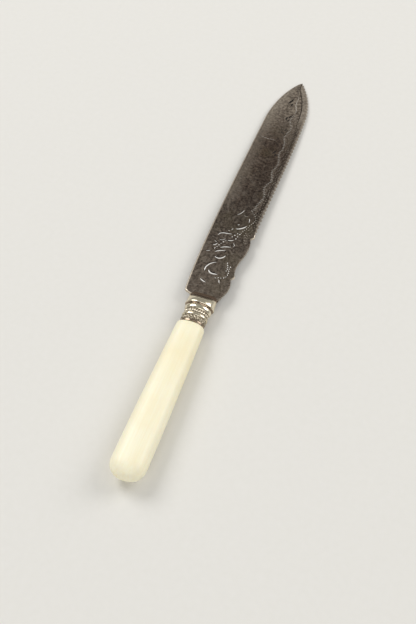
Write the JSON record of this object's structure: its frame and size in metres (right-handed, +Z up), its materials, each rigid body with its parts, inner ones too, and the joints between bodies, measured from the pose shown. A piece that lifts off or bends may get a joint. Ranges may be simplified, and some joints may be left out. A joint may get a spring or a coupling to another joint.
{
  "type": "cake knife",
  "caption": "Cake knife for cutting and serving: flat saw-toothed blade with a spurred ogee heel, oval bolster, beaded ferrule and smooth ivory-coloured handle.",
  "frame": {"origin": "middle of the knife's outline, at the table it lies on", "axes": "+Y along the knife from the butt to the tip, +X to the toothed edge, +Z up; the knife rests on the bolster's rim and the tip"},
  "size_m": [0.0248, 0.2786, 0.0133],
  "materials": {
    "blade": "tarnished silver plate",
    "bolster": "polished silver plate",
    "ferrule": "polished silver plate",
    "handle": "ivory-coloured celluloid",
    "cement": "resin"
  },
  "bodies": {
    "root": {"blade": "blade", "bolster": "bolster", "ferrule": "ferrule", "handle": "handle", "tang_cement": "cement"}
  },
  "joints": []
}
